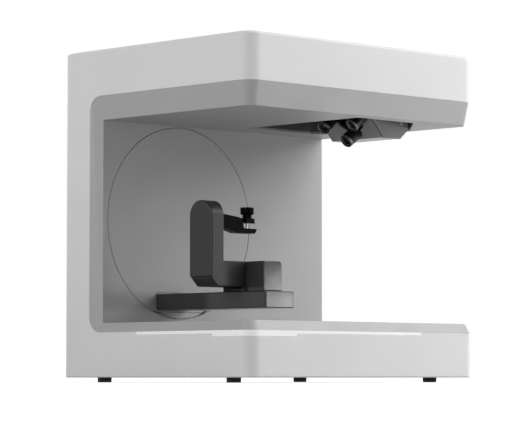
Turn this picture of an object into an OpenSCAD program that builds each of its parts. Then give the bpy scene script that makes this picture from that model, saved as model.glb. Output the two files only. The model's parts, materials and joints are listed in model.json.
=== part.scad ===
// Desktop 3D scanner. A C-shaped cabinet leaves a scan bay open at the front and at both sides.
// A disc in the bay's rear wall rolls a swing arm. The arm carries a bracket with a spindle and
// a small screw clamp for the sample, and a fixed scan head looks down at it from the right.
// Origin: middle of the footprint, on the table. +X right along the front, +Y back, +Z up.

/* [Cabinet] */
// Width of the cabinet, left to right
cabinet_w = 328; // [320:1:345]
// Depth of the cabinet, front to back
cabinet_d = 281; // [276:1:300]
// Height of the cabinet above its feet
cabinet_h = 335; // [333:1:350]
// Radius of the four upright corners
corner_r = 15.5; // [13:0.5:18]
// Radius round the top's outer edge
top_edge_r = 3; // [2:0.5:4]
// Radius round the bottom's outer edge
bottom_edge_r = 1.5; // [1:0.5:2]
// Wall thickness of the mouldings
wall = 3; // [2.5:0.1:3.5]
// Height of the feet
foot_h = 5; // [4:0.5:7]
// Diameter of the feet
foot_d = 14.4; // [12:0.2:18]
// Distance of the feet's centres from the left and right faces
foot_inset_x = 22.5; // [20:0.5:30]
// Distance of the feet's centres from the front and rear faces
foot_inset_y = 44.5; // [38:0.5:50]

/* [Scan bay] */
// Height of the base's upright outer face
base_face_h = 45.8; // [42:0.2:48]
// Rise of the sloping band from that face to the bay's floor
base_band_h = 9.7; // [6:0.1:11]
// Height of the bay's opening between the outer faces of base and head
bay_face_h = 241.2; // [240:0.2:244]
// Drop of the sloping band from that face to the bay's ceiling
head_band_h = 24.5; // [20:0.5:25]
// Depth of the column's upright side faces
column_face_d = 46; // [44:0.5:52]
// Depth of the sloping band from those faces to the bay's rear wall
column_band_d = 15.5; // [12:0.5:18]
// How far the sloping bands lean in from the outer faces
band_inset = 5; // [3:0.5:6]
// Radius of the side openings' rear corners
bay_corner_r = 16; // [12:0.5:20]

/* [Status light] */
// Height of the status light's visible strip
light_h = 3.3; // [2.5:0.1:4]
// Extra height of its deeper part at the near corner
light_drop = 2.8; // [2:0.1:3.5]
// Reach of the strip along the left face, from the front
light_left_run = 163; // [140:1:180]
// Reach of the strip along the front face, from the left
light_front_run = 245; // [200:1:260]
// Reach of the deeper part along the left face
light_deep_left = 52; // [40:1:60]
// Reach of the deeper part along the front face
light_deep_front = 66; // [50:1:80]

/* [Roll disc] */
// Diameter of the roll disc in the rear wall
disc_d = 200; // [190:1:202]
// Thickness of the disc
disc_t = 4; // [3:0.5:5]
// Gap round the disc
disc_gap = 0.4; // [0.3:0.1:0.6]
// Distance of the disc's axis from the cabinet's left face
disc_from_left = 111.3; // [109:0.1:118]
// Height of the disc's axis above the feet
disc_axis_h = 161.2; // [160.5:0.1:162]
// Radius of the belt pulley behind the disc
roll_pulley_r = 32; // [28:0.5:36]
// Radius of the roll motor's pulley
roll_pinion_r = 8; // [7:0.5:10]
// Distance between the two pulleys of the roll drive
roll_belt_span = 78; // [72:1:90]
// Radius of the hollow roll shaft
roll_shaft_r = 12.5; // [11:0.5:14]
// Radius of the cable bore through the roll shaft
roll_bore_r = 7; // [5:0.5:8]

/* [Swing arm] */
// Width of the beam
beam_w = 41.3; // [38:0.1:44]
// Thickness of the beam
beam_t = 16.9; // [14:0.1:17]
// Reach of the beam from the rear wall
beam_len = 161.8; // [150:0.1:170]
// Drop of the beam's top below the disc's axis
beam_drop = 74.9; // [74:0.1:76]
// Distance of the beam's left face from the disc's axis
beam_left = 33.6; // [32:0.1:34]
// Width of the flange that is let into the disc
flange_w = 66; // [60:0.5:67]
// Height of that flange
flange_h = 19.5; // [18:0.1:20]
// Depth of that flange
flange_t = 2.5; // [2:0.1:3]
// Width of the drive block on the beam
block_w = 25.6; // [24:0.1:30]
// Height of the drive block
block_h = 29.9; // [28:0.1:32]
// Depth of the drive block
block_d = 55.5; // [50:0.1:60]
// Distance of the block's front from the beam's front end
block_setback = 5.1; // [3:0.1:8]

/* [Spindle bracket] */
// Distance of the bracket's left face from the disc's axis
bracket_left = 79.8; // [78:0.1:80]
// Width of the bracket's pillar
pillar_w = 18.6; // [18:0.1:20]
// Depth of the pillar, which is also the width of its round top
pillar_d = 30.5; // [28:0.1:32]
// Height of the bracket's foot
bracket_foot_h = 25.6; // [25:0.1:27]
// Gap between the bracket's foot and the beam
bracket_lift = 4.3; // [4:0.1:5]
// Chamfer that keeps the bracket's lower corner inside the disc's circle
bracket_chamfer = 10.5; // [10.2:0.1:12]
// Wall thickness of the bracket
bracket_wall = 2.5; // [2.2:0.1:2.8]
// Radius of the spindle's pulley
spindle_pulley_r = 9; // [8:0.1:10]
// Radius of the spin motor's pulley
spin_pinion_r = 5.6; // [5:0.1:6]
// Radius of the spindle
spindle_r = 3; // [2.5:0.1:3.5]

/* [Sample clamp] */
// Reach of the clamp's lower jaw beyond the pillar's right face
clamp_reach = 54.9; // [50:0.1:58]
// Distance of the clamp's screw from the jaw's tip
screw_setback = 8.5; // [7.5:0.1:9]
// Width of the clamp's arm
clamp_w = 11; // [9:0.5:12]
// Thickness of the lower jaw
jaw_t = 4.9; // [4:0.1:6]
// Gap between the jaws at rest
jaw_gap = 5.6; // [5:0.1:7]
// Drop of the lower jaw's top below the spindle's axis
jaw_drop = 11.1; // [10:0.1:12]
// Thickness of the upper jaw
upper_jaw_t = 4.8; // [4:0.1:5.5]
// Radius of the clamp's steel stud
stud_r = 1.25; // [1:0.05:1.5]
// Radius of the clamp's knob
knob_r = 6.8; // [6:0.1:7.5]
// Height of the knob's lobed head
knob_h = 7.7; // [6:0.1:9]
// Height of the knob's neck
neck_h = 3.5; // [3:0.1:4]

/* [Scan head] */
// Distance from each lens to the middle of the scanned space
focus_distance = 157; // [154:0.5:160]
// Upward angle from there to the two cameras
camera_rise = 40.5; // [39.5:0.1:41]
// Sideways angle between the middle plane and each camera
camera_spread = 9.85; // [9.2:0.05:10.4]
// Upward angle from there to the projector
projector_rise = 33.8; // [33:0.1:34.5]
// Radius of the lens barrels
barrel_r = 7.4; // [7:0.1:7.6]
// Length of the lens barrels
barrel_len = 24; // [22:0.5:24.5]
// Clear radius at the front of each barrel
lens_r = 4.6; // [4:0.1:5]
// Slope of the plate that the barrels look out of
plate_slope = 47.4; // [46:0.1:49]
// Thickness of that plate
plate_t = 2.5; // [2:0.1:3]
// Height of the projector's middle, where it leaves the plate, above the pod's flat bottom
plate_low_reach = 6.8; // [6.6:0.1:8]
// Radius of the round window in the pod plate, between the two cameras
plate_window_r = 20.5; // [18:0.5:22]
// Gap between the cameras and the pod's front wall
module_side_gap = 0.7; // [0.5:0.1:2]
// Gap between the pod's outer side and the end of the well that it hangs in
pod_side_gap = 11.5; // [11:0.1:12]
// Length of the pod, front to back
pod_len = 75; // [72:0.5:78]
// Gap between the cameras' highest corners and the top of the well that the pod hangs in
module_top_gap = 1; // [0.5:0.1:2]

/* [Fits] */
// Gap round a fixed piece that is let into another
seat_gap = 0.2; // [0.1:0.05:0.3]
// Radial gap between turning pieces and what surrounds them
turn_gap = 0.3; // [0.3:0.05:0.4]
// Radial running clearance of a shaft in its bearing
run_gap = 0.05; // [0.03:0.01:0.08]

/* [Hidden] */

$fn = 64;
shell_fn = 96;
big = 1000;

// Outer faces and levels of the cabinet
left_x = -cabinet_w / 2;
right_x = cabinet_w / 2;
front_y = -cabinet_d / 2;
back_y = cabinet_d / 2;
bottom_z = foot_h;
top_z = foot_h + cabinet_h;
base_top_z = bottom_z + base_face_h;
head_face_h = cabinet_h - base_face_h - bay_face_h;
floor_z = base_top_z + base_band_h;
head_bottom_z = top_z - head_face_h;
ceiling_z = head_bottom_z - head_band_h;
column_y = back_y - column_face_d;
wall_y = column_y - column_band_d;

// Roll axis, and the middle of the scanned space on it
axis_x = left_x + disc_from_left;
axis_z = bottom_z + disc_axis_h;
disc_r = disc_d / 2;

// Planes behind the bay's rear wall
disc_back_y = wall_y + disc_t;
pulley_gap = 1;
pulley_w = 7;
pulley_y = disc_back_y + pulley_gap;
plate_gap = 1;
plate_y = pulley_y + pulley_w + plate_gap;
column_plate_t = 10;
plate_back_y = plate_y + column_plate_t;
bearing_r = 20;
belt_t = 1.4;
motor_side = 42;
motor_len = 28;
motor_x = axis_x + roll_belt_span;
motor_shaft_r = 2.5;

// Swing arm
beam_x = axis_x - beam_left;
beam_top_z = axis_z - beam_drop;
beam_z = beam_top_z - beam_t;
beam_y = wall_y - beam_len;
beam_edge_r = 2.5;
beam_mid_z = beam_z + beam_t / 2;
duct_w = 14;
duct_h = 8;
duct_cover_t = 2;
block_y = beam_y + block_setback;
block_x = beam_x + 3.3;
block_edge_r = 4;
block_wall = 2.5;

// Spindle bracket
bracket_x = axis_x - bracket_left;
pillar_right_x = bracket_x + pillar_w;
bracket_y = block_y + block_d - pillar_d;
spindle_y = bracket_y + pillar_d / 2;
spindle_z = axis_z;
bracket_z = beam_top_z + bracket_lift;
cover_t = 2.5;
spin_motor_z = bracket_z + bracket_foot_h / 2;
spin_motor_side = 20;
spin_pulley_w = 6;
spin_pulley_x = bracket_x + 9.5;
collar_t = 3;
collar_r = 10;
spindle_bearing_r = 6.5;
spindle_bearing_w = bracket_wall + collar_t;
collar_x = pillar_right_x + collar_t;
spacer_w = 29;

// Sample clamp
spindle_flange_r = 7;
spindle_flange_t = 2;
spindle_end_x = collar_x + 0.5;
arm_root_x = spindle_end_x + spindle_flange_t;
jaw_tip_x = pillar_right_x + clamp_reach;
screw_x = jaw_tip_x - screw_setback;
lower_jaw_z = spindle_z - jaw_drop;
upper_jaw_z = lower_jaw_z + jaw_gap;
neck_z = upper_jaw_z + upper_jaw_t;
knob_z = neck_z + neck_h;
neck_r = 4.5;
throat_x = screw_x - 9;

// Scan head
focus = [axis_x, spindle_y, spindle_z];
camera_dir_a = [cos(camera_rise) * cos(camera_spread), cos(camera_rise) * sin(camera_spread),
                sin(camera_rise)];
camera_dir_b = [camera_dir_a.x, -camera_dir_a.y, camera_dir_a.z];
projector_dir = [cos(projector_rise), 0, sin(projector_rise)];
plate_setback = 17.5;
plate_point = focus + (focus_distance + plate_setback) * projector_dir;
plate_normal = [sin(plate_slope), 0, cos(plate_slope)];
// Where a camera's line of sight passes through the plate's face
camera_at_plate = focus
    + camera_dir_b * ((plate_point - focus) * plate_normal) / (camera_dir_b * plate_normal);
pod_floor_z = plate_point.z - plate_low_reach;
pod_floor_x = plate_point.x + (plate_point.z - pod_floor_z) / tan(plate_slope);
pod_wall = 2;
module_w = 12;
camera_module_t = 5;
projector_module_t = 14;
camera_end = focus_distance + barrel_len + camera_module_t;
module_side_reach = camera_end * cos(camera_rise) * sin(camera_spread)
    + module_w / 2 * (cos(camera_spread) + sin(camera_rise) * sin(camera_spread));
barrel_side_reach = (focus_distance + barrel_len) * cos(camera_rise) * sin(camera_spread) + barrel_r;
camera_side_reach = max(module_side_reach, barrel_side_reach);
pod_front_y = spindle_y - camera_side_reach - module_side_gap - pod_wall;
pod_back_y = pod_front_y + pod_len;
well_end_gap = 16;
well_right_x = right_x - well_end_gap;
pod_side_slope = 40;
pod_side_run = 12;
pod_side_x = well_right_x - pod_side_gap;
pod_right_x = pod_side_x - pod_side_run;
pod_side_z = pod_floor_z + pod_side_run * tan(pod_side_slope);
well_top_z = focus.z + camera_end * sin(camera_rise) + module_w / 2 * cos(camera_rise)
    + module_top_gap;
pod_top_x = pod_floor_x - (well_top_z - pod_floor_z) / tan(plate_slope);
well_wall = 2;
well_top_t = 2;
well_front_y = front_y + 20;
well_back_y = wall_y - 34.5;
well_left_x = axis_x + 60.7;
well_corner_gap = 4;
well_front_cut = pod_side_gap + pod_front_y - well_front_y - well_corner_gap;
well_back_cut = 42;
beam_plate_t = 8;

// Base and electronics
sheet_t = 3;
base_gap = 0.3;
base_recess = 0.5;
plate_z = bottom_z + base_recess;
supply_w = 84;
supply_d = 110;
supply_h = 30;
supply_y = front_y + 60;
board_w = 110;
board_h = 90;
board_post_h = 6;
board_post_r = 3;
board_post_inset = 8;
board_left = 35;
board_rise = 40;
chip_w = 30;
chip_t = 8;
chip_x = 25;
chip_z = 30;
plug_w = 28;
plug_t = 10;
plug_h = 12;
plug_x = 70;
plug_z = 12;
lamp_board_drop = 6;
lamp_board_end = 4;
bolt_head_r = 5;
bolt_head_h = 5;
bolt_depth = 12;
beam_rib_t = 6;
beam_rib_gap = 8;
beam_front_gap = 8;
beam_end_gap = 12;
beam_side_gap = 6;
bolt_end_gap = 15;
deck_z = plate_z + sheet_t;
board_t = 1.6;
rear_border = corner_r + 4;
rear_recess = 2;
panel_y = back_y - rear_recess;
panel_r = 6;
ear_t = 4;
cover_screw_r = 2;

// A box with upright rounded corners, centred on the origin in X and Y
module rounded_prism(w, d, h, r) {
    linear_extrude(h) rounded_rect(w, d, r);
}

module rounded_rect(w, d, r) {
    union() {
        square([w - 2 * r, d], center = true);
        square([w, d - 2 * r], center = true);
        for (sx = [-1, 1], sy = [-1, 1])
            translate([sx * (w / 2 - r), sy * (d / 2 - r)]) circle(r, $fn = shell_fn);
    }
}

// What a rounded outer corner of radius r leaves out of a square one, towards +X and +Y
module round_off(r) {
    difference() {
        square(r + 1);
        circle(r);
    }
}

// Upright section of the cabinet from its middle out to one face, with both edges rounded
module edge_section(half, h) {
    difference() {
        square([half, h]);
        translate([half - top_edge_r, h - top_edge_r]) round_off(top_edge_r);
        translate([half - bottom_edge_r, bottom_edge_r]) mirror([0, 1]) round_off(bottom_edge_r);
    }
}

module both_sides(half, h) {
    union() {
        edge_section(half, h);
        mirror([1, 0]) edge_section(half, h);
    }
}

// The cabinet's full outer form, with rounded corners and edges
module cabinet_solid() {
    run_x = cabinet_w - 2 * corner_r;
    run_y = cabinet_d - 2 * corner_r;
    translate([0, 0, bottom_z]) union() {
        translate([-run_x / 2, 0, 0]) rotate([90, 0, 90])
            linear_extrude(run_x) both_sides(cabinet_d / 2, cabinet_h);
        translate([0, run_y / 2, 0]) rotate([90, 0, 0])
            linear_extrude(run_y) both_sides(cabinet_w / 2, cabinet_h);
        for (sx = [-1, 1], sy = [-1, 1])
            translate([sx * run_x / 2, sy * run_y / 2, 0])
                rotate_extrude($fn = shell_fn) edge_section(corner_r, cabinet_h);
    }
}

// The space inside the outer casing's walls
module cabinet_inside(g) {
    translate([0, 0, bottom_z - 1])
        rounded_prism(cabinet_w - 2 * g, cabinet_d - 2 * g, cabinet_h + 1 - g, corner_r - g);
}

// Side view of the opening that runs across the cabinet, as a cutter
module bay_cut(reach) {
    rotate([90, 0, 90]) translate([0, 0, -reach]) linear_extrude(2 * reach) union() {
        translate([front_y - 10, base_top_z])
            square([column_y - bay_corner_r - front_y + 10, head_bottom_z - base_top_z]);
        translate([column_y - bay_corner_r - 1, base_top_z + bay_corner_r])
            square([bay_corner_r + 1, head_bottom_z - base_top_z - 2 * bay_corner_r]);
        for (z = [base_top_z + bay_corner_r, head_bottom_z - bay_corner_r])
            translate([column_y - bay_corner_r, z]) circle(bay_corner_r);
    }
}

// A slab that narrows by band_inset all round as it rises
module tapered_slab(w, d, h, r) {
    run_x = w - 2 * r;
    run_y = d - 2 * r;
    t = band_inset;
    union() {
        translate([-run_x / 2, 0, 0]) rotate([90, 0, 90]) linear_extrude(run_x)
            polygon([[-d / 2, 0], [d / 2, 0], [d / 2 - t, h], [-d / 2 + t, h]]);
        translate([0, run_y / 2, 0]) rotate([90, 0, 0]) linear_extrude(run_y)
            polygon([[-w / 2, 0], [w / 2, 0], [w / 2 - t, h], [-w / 2 + t, h]]);
        for (sx = [-1, 1], sy = [-1, 1])
            translate([sx * run_x / 2, sy * run_y / 2, 0])
                cylinder(h, r, r - t, $fn = shell_fn);
    }
}

// The C-shaped lining as a solid, with every face moved in by g
module lining_solid(g) {
    w = cabinet_w - 2 * g;
    d = cabinet_d - 2 * g;
    translate([0, 0, base_top_z - g]) tapered_slab(w, d, base_band_h, corner_r - g);
    translate([0, 0, head_bottom_z + g]) mirror([0, 0, 1])
        tapered_slab(w, d, head_band_h, corner_r - g);
    translate([0, 0, base_top_z - g]) linear_extrude(head_bottom_z - base_top_z + 2 * g)
        polygon([
            [-w / 2, column_y + g], [w / 2, column_y + g],
            [w / 2 - band_inset, wall_y + g], [-w / 2 + band_inset, wall_y + g]
        ]);
}

// Outline of the well's opening in the ceiling, with every edge moved out by g
module well_outline(g) {
    k = g * tan(22.5);
    polygon([
        [well_left_x - g, well_front_y - g],
        [well_right_x - well_front_cut + k, well_front_y - g],
        [well_right_x + g, well_front_y + well_front_cut - k],
        [well_right_x + g, well_back_y - well_back_cut + k],
        [well_right_x - well_back_cut + k, well_back_y + g],
        [well_left_x - g, well_back_y + g]
    ]);
}

// Where the status light runs: the left and front walls near their shared corner
module light_zone(run_left, run_front, z, h) {
    translate([left_x - 1, front_y - 1, z]) cube([corner_r + 1, run_left + 1, h]);
    translate([left_x - 1, front_y - 1, z]) cube([run_front + 1, corner_r + 1, h]);
}

module light_ring(g) {
    union() {
        light_zone(light_left_run - g, light_front_run - g, base_top_z - light_h + g, light_h - g);
        light_zone(light_deep_left - g, light_deep_front - g,
                   base_top_z - light_h - light_drop + g, light_drop + 0.1);
    }
}

module wall_ring(z, h) {
    translate([0, 0, z]) difference() {
        rounded_prism(cabinet_w, cabinet_d, h, corner_r);
        translate([0, 0, -1])
            rounded_prism(cabinet_w - 2 * wall, cabinet_d - 2 * wall, h + 2, corner_r - wall);
    }
}

// Panel in the rear opening, t thick and grown by g
module rear_panel(g, t) {
    h = cabinet_h - 2 * rear_border;
    translate([0, panel_y - wall, bottom_z + cabinet_h / 2]) rotate([-90, 0, 0])
        rounded_prism(cabinet_w - 2 * rear_border + 2 * g, h + 2 * g, t, panel_r + g);
}

cover_screw_x = cabinet_w / 2 - rear_border - 7;
cover_screw_zs = [bottom_z + rear_border + 7, bottom_z + cabinet_h / 2, top_z - rear_border - 7];

// Ears behind the rear opening that take the cover's screws
module cover_ears() {
    for (s = [-1, 1], z = cover_screw_zs)
        translate([s * (cover_screw_x + 4.5) - 11.5, panel_y - wall - ear_t, z - 6])
            cube([23, ear_t + rear_recess + wall / 2, 12]);
}

module outer_casing() {
    color("gainsboro") difference() {
        union() {
            difference() {
                cabinet_solid();
                cabinet_inside(wall);
            }
            intersection() {
                cover_ears();
                cabinet_inside(wall);
            }
        }
        bay_cut(big);
        light_ring(0);
        rear_panel(seat_gap, 2 * wall + rear_recess);
        for (s = [-1, 1], z = cover_screw_zs)
            translate([s * cover_screw_x, panel_y - wall + 1, z]) rotate([90, 0, 0])
                cylinder(ear_t + 2, r = cover_screw_r + run_gap);
    }
}

module bay_liner() {
    color("silver") difference() {
        lining_solid(0);
        lining_solid(wall);
        translate([-big / 2, column_y, 0]) cube([big, big, big]);
        // the casing's side walls keep their rounded corners
        difference() {
            for (side = [0, 1]) mirror([side, 0, 0])
                translate([right_x - wall, wall_y - 10, 0]) cube([wall + 1, big, big]);
            bay_cut(big);
        }
        translate([axis_x, wall_y - 1, axis_z]) rotate([-90, 0, 0])
            cylinder(wall + 2, r = disc_r + disc_gap, $fn = 128);
        translate([0, 0, ceiling_z - 1]) linear_extrude(wall + 2) well_outline(0);
    }
}

inlet_side_gap = 70;
inlet_rise = 48;
inlet_x = right_x - inlet_side_gap;
inlet_w = 28;
inlet_h = 20;
inlet_z = bottom_z + inlet_rise;
inlet_depth = 18;
inlet_hollow = 14;
inlet_pin_gap = 6;
switch_to_inlet = 42;
switch_x = inlet_x - switch_to_inlet;
switch_w = 21;
switch_h = 15;
switch_depth = 16;
socket_to_switch = 36;
socket_x = switch_x - socket_to_switch;
socket_w = 14;
socket_h = 9;
socket_depth = 16;
socket_hollow = 13;
socket_wall = 1.2;
socket_flange = 1.5;
tongue_t = 2;
rim_t = 1.6;
rim_w = 3;
vent_count = 9;
vent_pitch = 9;
vent_w = 3.5;
vent_h = 70;
upper_vent_drop = 130;
lower_vent_rise = 90;

module rear_cover() {
    color("gainsboro") difference() {
        rear_panel(0, wall);
        for (s = [-1, 1], z = cover_screw_zs)
            translate([s * cover_screw_x, panel_y + 1, z]) rotate([90, 0, 0])
                cylinder(wall + 2, r = cover_screw_r + run_gap);
        translate([inlet_x - inlet_w / 2, panel_y - wall - 1, inlet_z - inlet_h / 2])
            cube([inlet_w, wall + 2, inlet_h]);
        translate([switch_x - switch_w / 2, panel_y - wall - 1, inlet_z - switch_h / 2])
            cube([switch_w, wall + 2, switch_h]);
        translate([socket_x - socket_w / 2, panel_y - wall - 1, inlet_z - socket_h / 2])
            cube([socket_w, wall + 2, socket_h]);
        for (i = [0 : vent_count - 1], z = [top_z - upper_vent_drop, bottom_z + lower_vent_rise])
            translate([(i - (vent_count - 1) / 2) * vent_pitch - vent_w / 2, panel_y - wall - 1, z])
                cube([vent_w, wall + 2, vent_h]);
    }
}

module base_plate() {
    g = wall + base_gap;
    color("dimgray") translate([0, 0, plate_z]) difference() {
        rounded_prism(cabinet_w - 2 * g, cabinet_d - 2 * g, sheet_t, corner_r - g);
        for (p = foot_places()) translate([p.x, p.y, -1]) cylinder(sheet_t + 2, r = foot_screw_r);
        for (x = bolt_xs) translate([x, bolt_y, -1]) cylinder(sheet_t + 2, r = bolt_r);
    }
}

foot_screw_r = 2;
bolt_r = 3;
bolt_xs = [left_x + 40, 0, right_x - 40];
rail_w = 14;
rail_h = 22;
bolt_y = plate_y + column_plate_t / 2;

function foot_places() = [
    for (sx = [-1, 1], sy = [-1, 1])
        [sx * (cabinet_w / 2 - foot_inset_x), sy * (cabinet_d / 2 - foot_inset_y)]
];

// Cast ring that stiffens the base
module base_frame() {
    w = cabinet_w - 2 * foot_inset_x - foot_d;
    front = front_y + 20;
    color("slategray") translate([0, 0, deck_z]) difference() {
        union() {
            translate([-w / 2, front, 0]) cube([w, rail_w, rail_h]);
            for (x = [-w / 2, -rail_w / 2, w / 2 - rail_w])
                translate([x, front, 0]) cube([rail_w, plate_y - front, rail_h]);
        }
        translate([-w / 2 - 1, (front + plate_y) / 2 - 20, rail_h - 8]) cube([w + 2, 40, 9]);
    }
}

plate_edge_gap = 6;
motor_hole_r = 11;

// Upright plate behind the bay's rear wall, which carries the roll axis
module column_plate() {
    w = cabinet_w - 2 * (band_inset + wall + plate_edge_gap);
    h = top_z - wall - plate_edge_gap - deck_z;
    color("slategray") difference() {
        translate([-w / 2, plate_y, deck_z]) cube([w, column_plate_t, h]);
        translate([axis_x, plate_y - 1, axis_z]) rotate([-90, 0, 0])
            cylinder(column_plate_t + 2, r = bearing_r, $fn = shell_fn);
        translate([motor_x, plate_y - 1, axis_z]) rotate([-90, 0, 0])
            cylinder(column_plate_t + 2, r = motor_hole_r);
        for (x = bolt_xs)
            translate([x, bolt_y, deck_z - 1]) cylinder(bolt_depth + 1, r = bolt_r);
        for (x = head_bolt_xs)
            translate([x, plate_y - 1, head_bolt_z]) rotate([-90, 0, 0])
                cylinder(column_plate_t + 2, r = bolt_r);
    }
}

head_beam_z = well_top_z + well_top_t;
head_beam_x = well_left_x + beam_side_gap;
head_beam_w = well_right_x - beam_end_gap - head_beam_x;
head_bolt_xs = [head_beam_x + bolt_end_gap, head_beam_x + head_beam_w - bolt_end_gap];
head_bolt_z = head_beam_z + beam_plate_t / 2;

// Cantilever from the column plate that carries the scan head's well and pod
module head_beam() {
    front = pod_front_y - beam_front_gap;
    run = plate_y - front;
    rib_h = top_z - wall - beam_rib_gap - head_beam_z;
    color("slategray") difference() {
        union() {
            translate([head_beam_x, front, head_beam_z]) cube([head_beam_w, run, beam_plate_t]);
            for (x = [head_beam_x, head_beam_x + head_beam_w - beam_rib_t])
                translate([x, front, head_beam_z]) cube([beam_rib_t, run, rib_h]);
        }
        for (x = head_bolt_xs) translate([x, plate_y - bolt_depth, head_bolt_z])
            rotate([-90, 0, 0]) cylinder(bolt_depth + 1, r = bolt_r);
    }
}

// Tub above the ceiling's opening, which closes the head round the pod
module head_well() {
    color("darkgray") union() {
        translate([0, 0, ceiling_z + wall]) linear_extrude(well_top_z - ceiling_z - wall)
            difference() {
                well_outline(well_wall);
                well_outline(0);
            }
        translate([0, 0, well_top_z]) linear_extrude(well_top_t) well_outline(well_wall);
    }
}

module light_bar() {
    color("white") intersection() {
        wall_ring(base_top_z - light_h - light_drop, light_h + light_drop);
        light_ring(seat_gap / 2);
    }
}

// Strip of lamps behind the status light
module light_board() {
    z = base_top_z - light_h - lamp_board_drop;
    h = light_h + lamp_board_drop - 1;
    cut = corner_r + lamp_board_end;
    color("seagreen") {
        translate([left_x + wall, front_y + corner_r, z]) cube([board_t, light_left_run - cut, h]);
        translate([left_x + corner_r, front_y + wall, z]) cube([light_front_run - cut, board_t, h]);
    }
}

module feet() {
    color("black") for (p = foot_places()) translate([p.x, p.y, 0]) difference() {
        union() {
            cylinder(1, foot_d / 2 - 0.8, foot_d / 2);
            translate([0, 0, 1]) cylinder(plate_z - 1, r = foot_d / 2);
        }
        translate([0, 0, -1]) cylinder(plate_z + 2, r = foot_screw_r);
        translate([0, 0, -1]) cylinder(3.2, r = 2 * foot_screw_r);
    }
}

module foot_screws() {
    color("silver") for (p = foot_places()) translate([p.x, p.y, 0]) {
        translate([0, 0, 2.2]) cylinder(deck_z - 2.2, r = foot_screw_r);
        translate([0, 0, 0.6]) cylinder(1.6, r = 2 * foot_screw_r - run_gap);
    }
}

module cover_screws() {
    color("dimgray") for (s = [-1, 1], z = cover_screw_zs)
        translate([s * cover_screw_x, panel_y, z]) rotate([-90, 0, 0]) difference() {
            union() {
                translate([0, 0, -wall - 3.5]) cylinder(wall + 3.5, r = cover_screw_r);
                cylinder(1.6, 3.8, 3);
            }
            translate([0, 0, 0.6]) cylinder(2, r = 1.5, $fn = 6);
        }
}

module frame_bolts() {
    run = bolt_depth + column_plate_t;
    color("silver") {
        for (x = bolt_xs) translate([x, bolt_y, plate_z]) cylinder(sheet_t + bolt_depth, r = bolt_r);
        for (x = head_bolt_xs) translate([x, plate_y - bolt_depth, head_bolt_z])
            rotate([-90, 0, 0]) {
                cylinder(run, r = bolt_r);
                translate([0, 0, run]) cylinder(bolt_head_h, r = bolt_head_r);
            }
    }
}

// Control board on four posts behind the column plate
module main_board() {
    y = plate_back_y + board_post_h;
    x = axis_x - board_left;
    z = axis_z + board_rise;
    far = board_post_inset;
    color("seagreen") {
        translate([x, y, z]) cube([board_w, board_t, board_h]);
        for (dx = [far, board_w - far], dz = [far, board_h - far])
            translate([x + dx, plate_back_y, z + dz]) rotate([-90, 0, 0])
                cylinder(board_post_h, r = board_post_r);
        translate([x + chip_x, y + board_t, z + chip_z]) cube([chip_w, chip_t, chip_w]);
        translate([x + plug_x, y + board_t, z + plug_z]) cube([plug_w, plug_t, plug_h]);
    }
}

module power_supply() {
    color("lightgray") translate([rail_w, supply_y, deck_z]) cube([supply_w, supply_d, supply_h]);
}

module power_inlet() {
    g = seat_gap;
    w = inlet_w + 2 * rim_w;
    h = inlet_h + 2 * rim_w;
    pin_w = 2;
    color("black") translate([inlet_x, panel_y, inlet_z]) difference() {
        union() {
            translate([-w / 2, 0, -h / 2]) cube([w, rim_t, h]);
            translate([-inlet_w / 2 + g, -inlet_depth, -inlet_h / 2 + g])
                cube([inlet_w - 2 * g, inlet_depth, inlet_h - 2 * g]);
        }
        translate([-inlet_w / 2 + rim_w, -inlet_hollow, -inlet_h / 2 + rim_w])
            cube([inlet_w - 2 * rim_w, inlet_hollow + rim_w, inlet_h - 2 * rim_w]);
    }
    color("silver") for (dx = [-1, 0, 1] * inlet_pin_gap)
        translate([inlet_x + dx - pin_w / 2, panel_y - inlet_hollow, inlet_z - pin_w])
            cube([pin_w, inlet_hollow - pin_w, 2 * pin_w]);
}

module data_socket() {
    g = seat_gap;
    w = socket_w + 2 * socket_flange;
    h = socket_h + 2 * socket_flange;
    in = socket_wall;
    color("silver") translate([socket_x, panel_y, inlet_z]) difference() {
        union() {
            translate([-w / 2, 0, -h / 2]) cube([w, 1, h]);
            translate([-socket_w / 2 + g, -socket_depth, -socket_h / 2 + g])
                cube([socket_w - 2 * g, socket_depth, socket_h - 2 * g]);
        }
        translate([-socket_w / 2 + in, -socket_hollow, -socket_h / 2 + in])
            cube([socket_w - 2 * in, socket_depth, socket_h - 2 * in]);
    }
    color("royalblue")
        translate([socket_x - socket_w / 2 + 2 * in, panel_y - socket_hollow, inlet_z - tongue_t / 2])
            cube([socket_w - 4 * in, socket_hollow - rim_w, tongue_t]);
}

rocker_w = switch_w - 6;
rocker_h = switch_h - 4;
rocker_pin_r = 1.2;
rocker_setback = 4;
rocker_y = panel_y - rocker_setback;
rocker_tilt = 8;
rocker_face = 5.2;
rocker_back = 3;

module switch_bezel() {
    g = seat_gap;
    w = switch_w + 4;
    h = switch_h + 4;
    room = turn_gap;
    color("black") translate([switch_x, panel_y, inlet_z]) difference() {
        union() {
            translate([-w / 2, 0, -h / 2]) cube([w, rim_t, h]);
            translate([-switch_w / 2 + g, -switch_depth, -switch_h / 2 + g])
                cube([switch_w - 2 * g, switch_depth, switch_h - 2 * g]);
        }
        translate([-rocker_w / 2 - room, rim_w - switch_depth, -rocker_h / 2 - room])
            cube([rocker_w + 2 * room, switch_depth, rocker_h + 2 * room]);
        translate([-rocker_w / 2 - 2, -rocker_setback, 0]) rotate([0, 90, 0])
            cylinder(rocker_w + 4, r = rocker_pin_r + run_gap);
    }
}

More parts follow.
